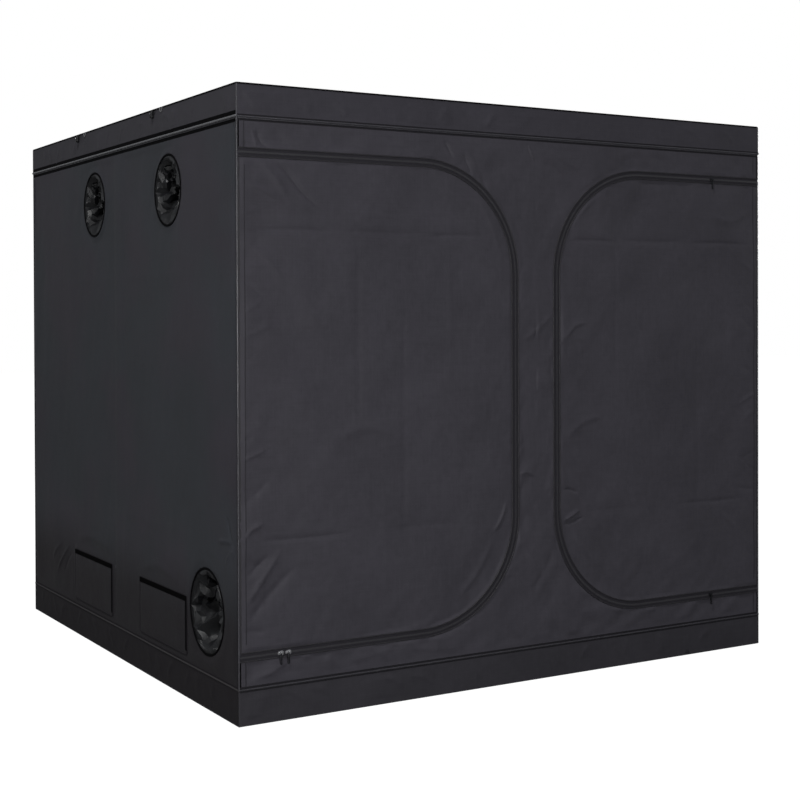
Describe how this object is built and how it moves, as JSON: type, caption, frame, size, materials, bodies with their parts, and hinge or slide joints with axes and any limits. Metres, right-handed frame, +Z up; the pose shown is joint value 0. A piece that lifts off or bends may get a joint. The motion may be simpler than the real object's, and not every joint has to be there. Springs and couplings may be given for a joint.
{
  "type": "indoor grow tent",
  "caption": "Square indoor grow tent: black cloth cover on a tube frame, with zipped D-shaped doors, drawn duct sleeves, vent flaps, hanging bars and a spill tray.",
  "frame": {"origin": "on the floor, under the middle of the tent's plan", "axes": "+Z up; the doors face -Y; +X is the viewer's right when facing the doors"},
  "size_m": [2.4, 2.4088, 2.2],
  "materials": {
    "black_cloth": "matte",
    "sleeve_cloth": "satin",
    "zip_tape": "matte",
    "black_net": "matte",
    "silver_sheet": "satin",
    "white_tube": "satin",
    "black_moulding": "matte",
    "bright_metal": "polished",
    "dark_metal": "gloss"
  },
  "bodies": {
    "tent": {"front_wall": "black_cloth", "back_wall": "black_cloth", "left_wall": "black_cloth", "right_wall": "black_cloth", "roof_cap": "black_cloth", "floor_base": "black_cloth", "spill_tray": "silver_sheet", "left_door_zip": "zip_tape", "right_door_zip": "zip_tape", "left_upper_front_sleeve": "sleeve_cloth", "left_upper_back_sleeve": "sleeve_cloth", "left_lower_sleeve": "sleeve_cloth", "right_upper_front_sleeve": "sleeve_cloth", "right_upper_back_sleeve": "sleeve_cloth", "roof_front_sleeve": "sleeve_cloth", "roof_back_sleeve": "sleeve_cloth", "left_vent_net": "black_net", "right_vent_net": "black_net", "front_left_post": "white_tube", "front_right_post": "white_tube", "back_left_post": "white_tube", "back_right_post": "white_tube", "front_middle_post": "white_tube", "back_middle_post": "white_tube", "left_middle_post": "white_tube", "right_middle_post": "white_tube", "top_front_rail": "white_tube", "top_back_rail": "white_tube", "top_left_rail": "white_tube", "top_right_rail": "white_tube", "bottom_front_rail": "white_tube", "bottom_back_rail": "white_tube", "bottom_left_rail": "white_tube", "bottom_right_rail": "white_tube", "roof_beam": "white_tube", "top_front_left_connector": "black_moulding", "top_front_right_connector": "black_moulding", "top_back_left_connector": "black_moulding", "top_back_right_connector": "black_moulding", "bottom_front_left_connector": "black_moulding", "bottom_front_right_connector": "black_moulding", "bottom_back_left_connector": "black_moulding", "bottom_back_right_connector": "black_moulding"},
    "left_door_body": {"left_door": "black_cloth"},
    "right_door_body": {"right_door": "black_cloth"},
    "left_outer_slider_body": {"left_door_outer_slider": "bright_metal"},
    "left_inner_slider_body": {"left_door_inner_slider": "dark_metal"},
    "right_lower_slider_body": {"right_door_lower_slider": "dark_metal"},
    "right_upper_slider_body": {"right_door_upper_slider": "dark_metal"},
    "left_outer_pull_body": {"left_door_outer_slider_pull": "bright_metal"},
    "left_inner_pull_body": {"left_door_inner_slider_pull": "dark_metal"},
    "right_lower_pull_body": {"right_door_lower_slider_pull": "dark_metal"},
    "right_upper_pull_body": {"right_door_upper_slider_pull": "dark_metal"},
    "left_front_flap_body": {"left_front_vent_flap": "black_cloth"},
    "left_back_flap_body": {"left_back_vent_flap": "black_cloth"},
    "right_front_flap_body": {"right_front_vent_flap": "black_cloth"},
    "right_back_flap_body": {"right_back_vent_flap": "black_cloth"},
    "left_hanging_bar_body": {"left_hanging_bar": "white_tube"},
    "right_hanging_bar_body": {"right_hanging_bar": "white_tube"}
  },
  "joints": [
    {"name": "left_door_swing", "type": "hinge", "parent": "tent", "child": "left_door_body", "pos_m": [-1.1979, -1.1979, 0.236], "axis": [0, 0, -1], "range_deg": [0, 140]},
    {"name": "right_door_swing", "type": "hinge", "parent": "tent", "child": "right_door_body", "pos_m": [1.1979, -1.1979, 0.236], "axis": [0, 0, 1], "range_deg": [0, 140]},
    {"name": "left_outer_slider_run", "type": "slide", "parent": "left_door_body", "child": "left_outer_slider_body", "axis": [1, 0, 0], "range_m": [-0.12, 0]},
    {"name": "left_inner_slider_run", "type": "slide", "parent": "left_door_body", "child": "left_inner_slider_body", "axis": [1, 0, 0], "range_m": [0, 0.53]},
    {"name": "right_lower_slider_run", "type": "slide", "parent": "right_door_body", "child": "right_lower_slider_body", "axis": [1, 0, 0], "range_m": [-0.36, 0.23]},
    {"name": "right_upper_slider_run", "type": "slide", "parent": "right_door_body", "child": "right_upper_slider_body", "axis": [1, 0, 0], "range_m": [-0.37, 0.22]},
    {"name": "left_outer_pull_swing", "type": "hinge", "parent": "left_outer_slider_body", "child": "left_outer_pull_body", "pos_m": [-1.043, -1.2061, 0.236], "axis": [-1, 0, 0], "range_deg": [0, 150]},
    {"name": "left_inner_pull_swing", "type": "hinge", "parent": "left_inner_slider_body", "child": "left_inner_pull_body", "pos_m": [-1.014, -1.2061, 0.236], "axis": [-1, 0, 0], "range_deg": [0, 150]},
    {"name": "right_lower_pull_swing", "type": "hinge", "parent": "right_lower_slider_body", "child": "right_lower_pull_body", "pos_m": [0.929, -1.2061, 0.236], "axis": [-1, 0, 0], "range_deg": [0, 150]},
    {"name": "right_upper_pull_swing", "type": "hinge", "parent": "right_upper_slider_body", "child": "right_upper_pull_body", "pos_m": [0.94, -1.2061, 1.965], "axis": [-1, 0, 0], "range_deg": [0, 150]},
    {"name": "left_front_flap_swing", "type": "hinge", "parent": "tent", "child": "left_front_flap_body", "pos_m": [-1.1994, -0.485, 0.135], "axis": [0, -1, 0], "range_deg": [0, 120]},
    {"name": "left_back_flap_swing", "type": "hinge", "parent": "tent", "child": "left_back_flap_body", "pos_m": [-1.1994, 0.32, 0.135], "axis": [0, -1, 0], "range_deg": [0, 120]},
    {"name": "right_front_flap_swing", "type": "hinge", "parent": "tent", "child": "right_front_flap_body", "pos_m": [1.1994, -0.485, 0.135], "axis": [0, 1, 0], "range_deg": [0, 120]},
    {"name": "right_back_flap_swing", "type": "hinge", "parent": "tent", "child": "right_back_flap_body", "pos_m": [1.1994, 0.32, 0.135], "axis": [0, 1, 0], "range_deg": [0, 120]},
    {"name": "left_hanging_bar_slide", "type": "slide", "parent": "tent", "child": "left_hanging_bar_body", "axis": [1, 0, 0], "range_m": [-0.2, 0.28]},
    {"name": "right_hanging_bar_slide", "type": "slide", "parent": "tent", "child": "right_hanging_bar_body", "axis": [1, 0, 0], "range_m": [-0.28, 0.65]}
  ]
}
